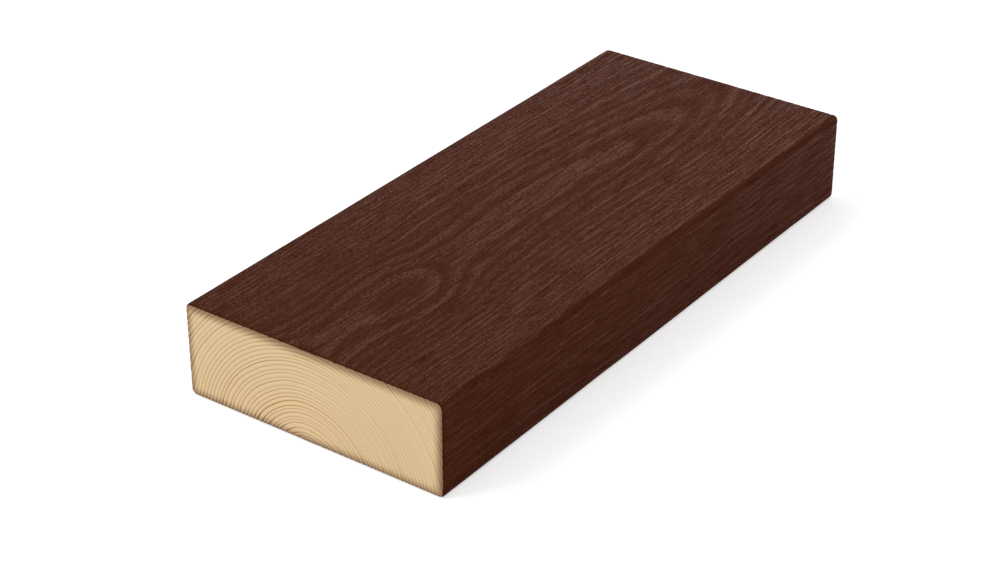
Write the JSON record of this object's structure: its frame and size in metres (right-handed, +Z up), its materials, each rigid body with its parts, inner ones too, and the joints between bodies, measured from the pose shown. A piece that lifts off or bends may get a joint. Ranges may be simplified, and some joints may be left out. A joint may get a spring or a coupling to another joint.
{
  "type": "treated timber plank",
  "caption": "Short flat length of planed softwood plank with rounded arrises, dark brown stained long faces and bare pale end grain, for decking, fencing and framing.",
  "frame": {"origin": "middle of the underside, the wide face that the plank lies on", "axes": "+X across the width, +Y along the grain from the near end to the far end, +Z up through the thickness"},
  "size_m": [0.15, 0.354, 0.05],
  "materials": {
    "stained_timber": "matte"
  },
  "bodies": {
    "root": {"plank": "stained_timber"}
  },
  "joints": []
}
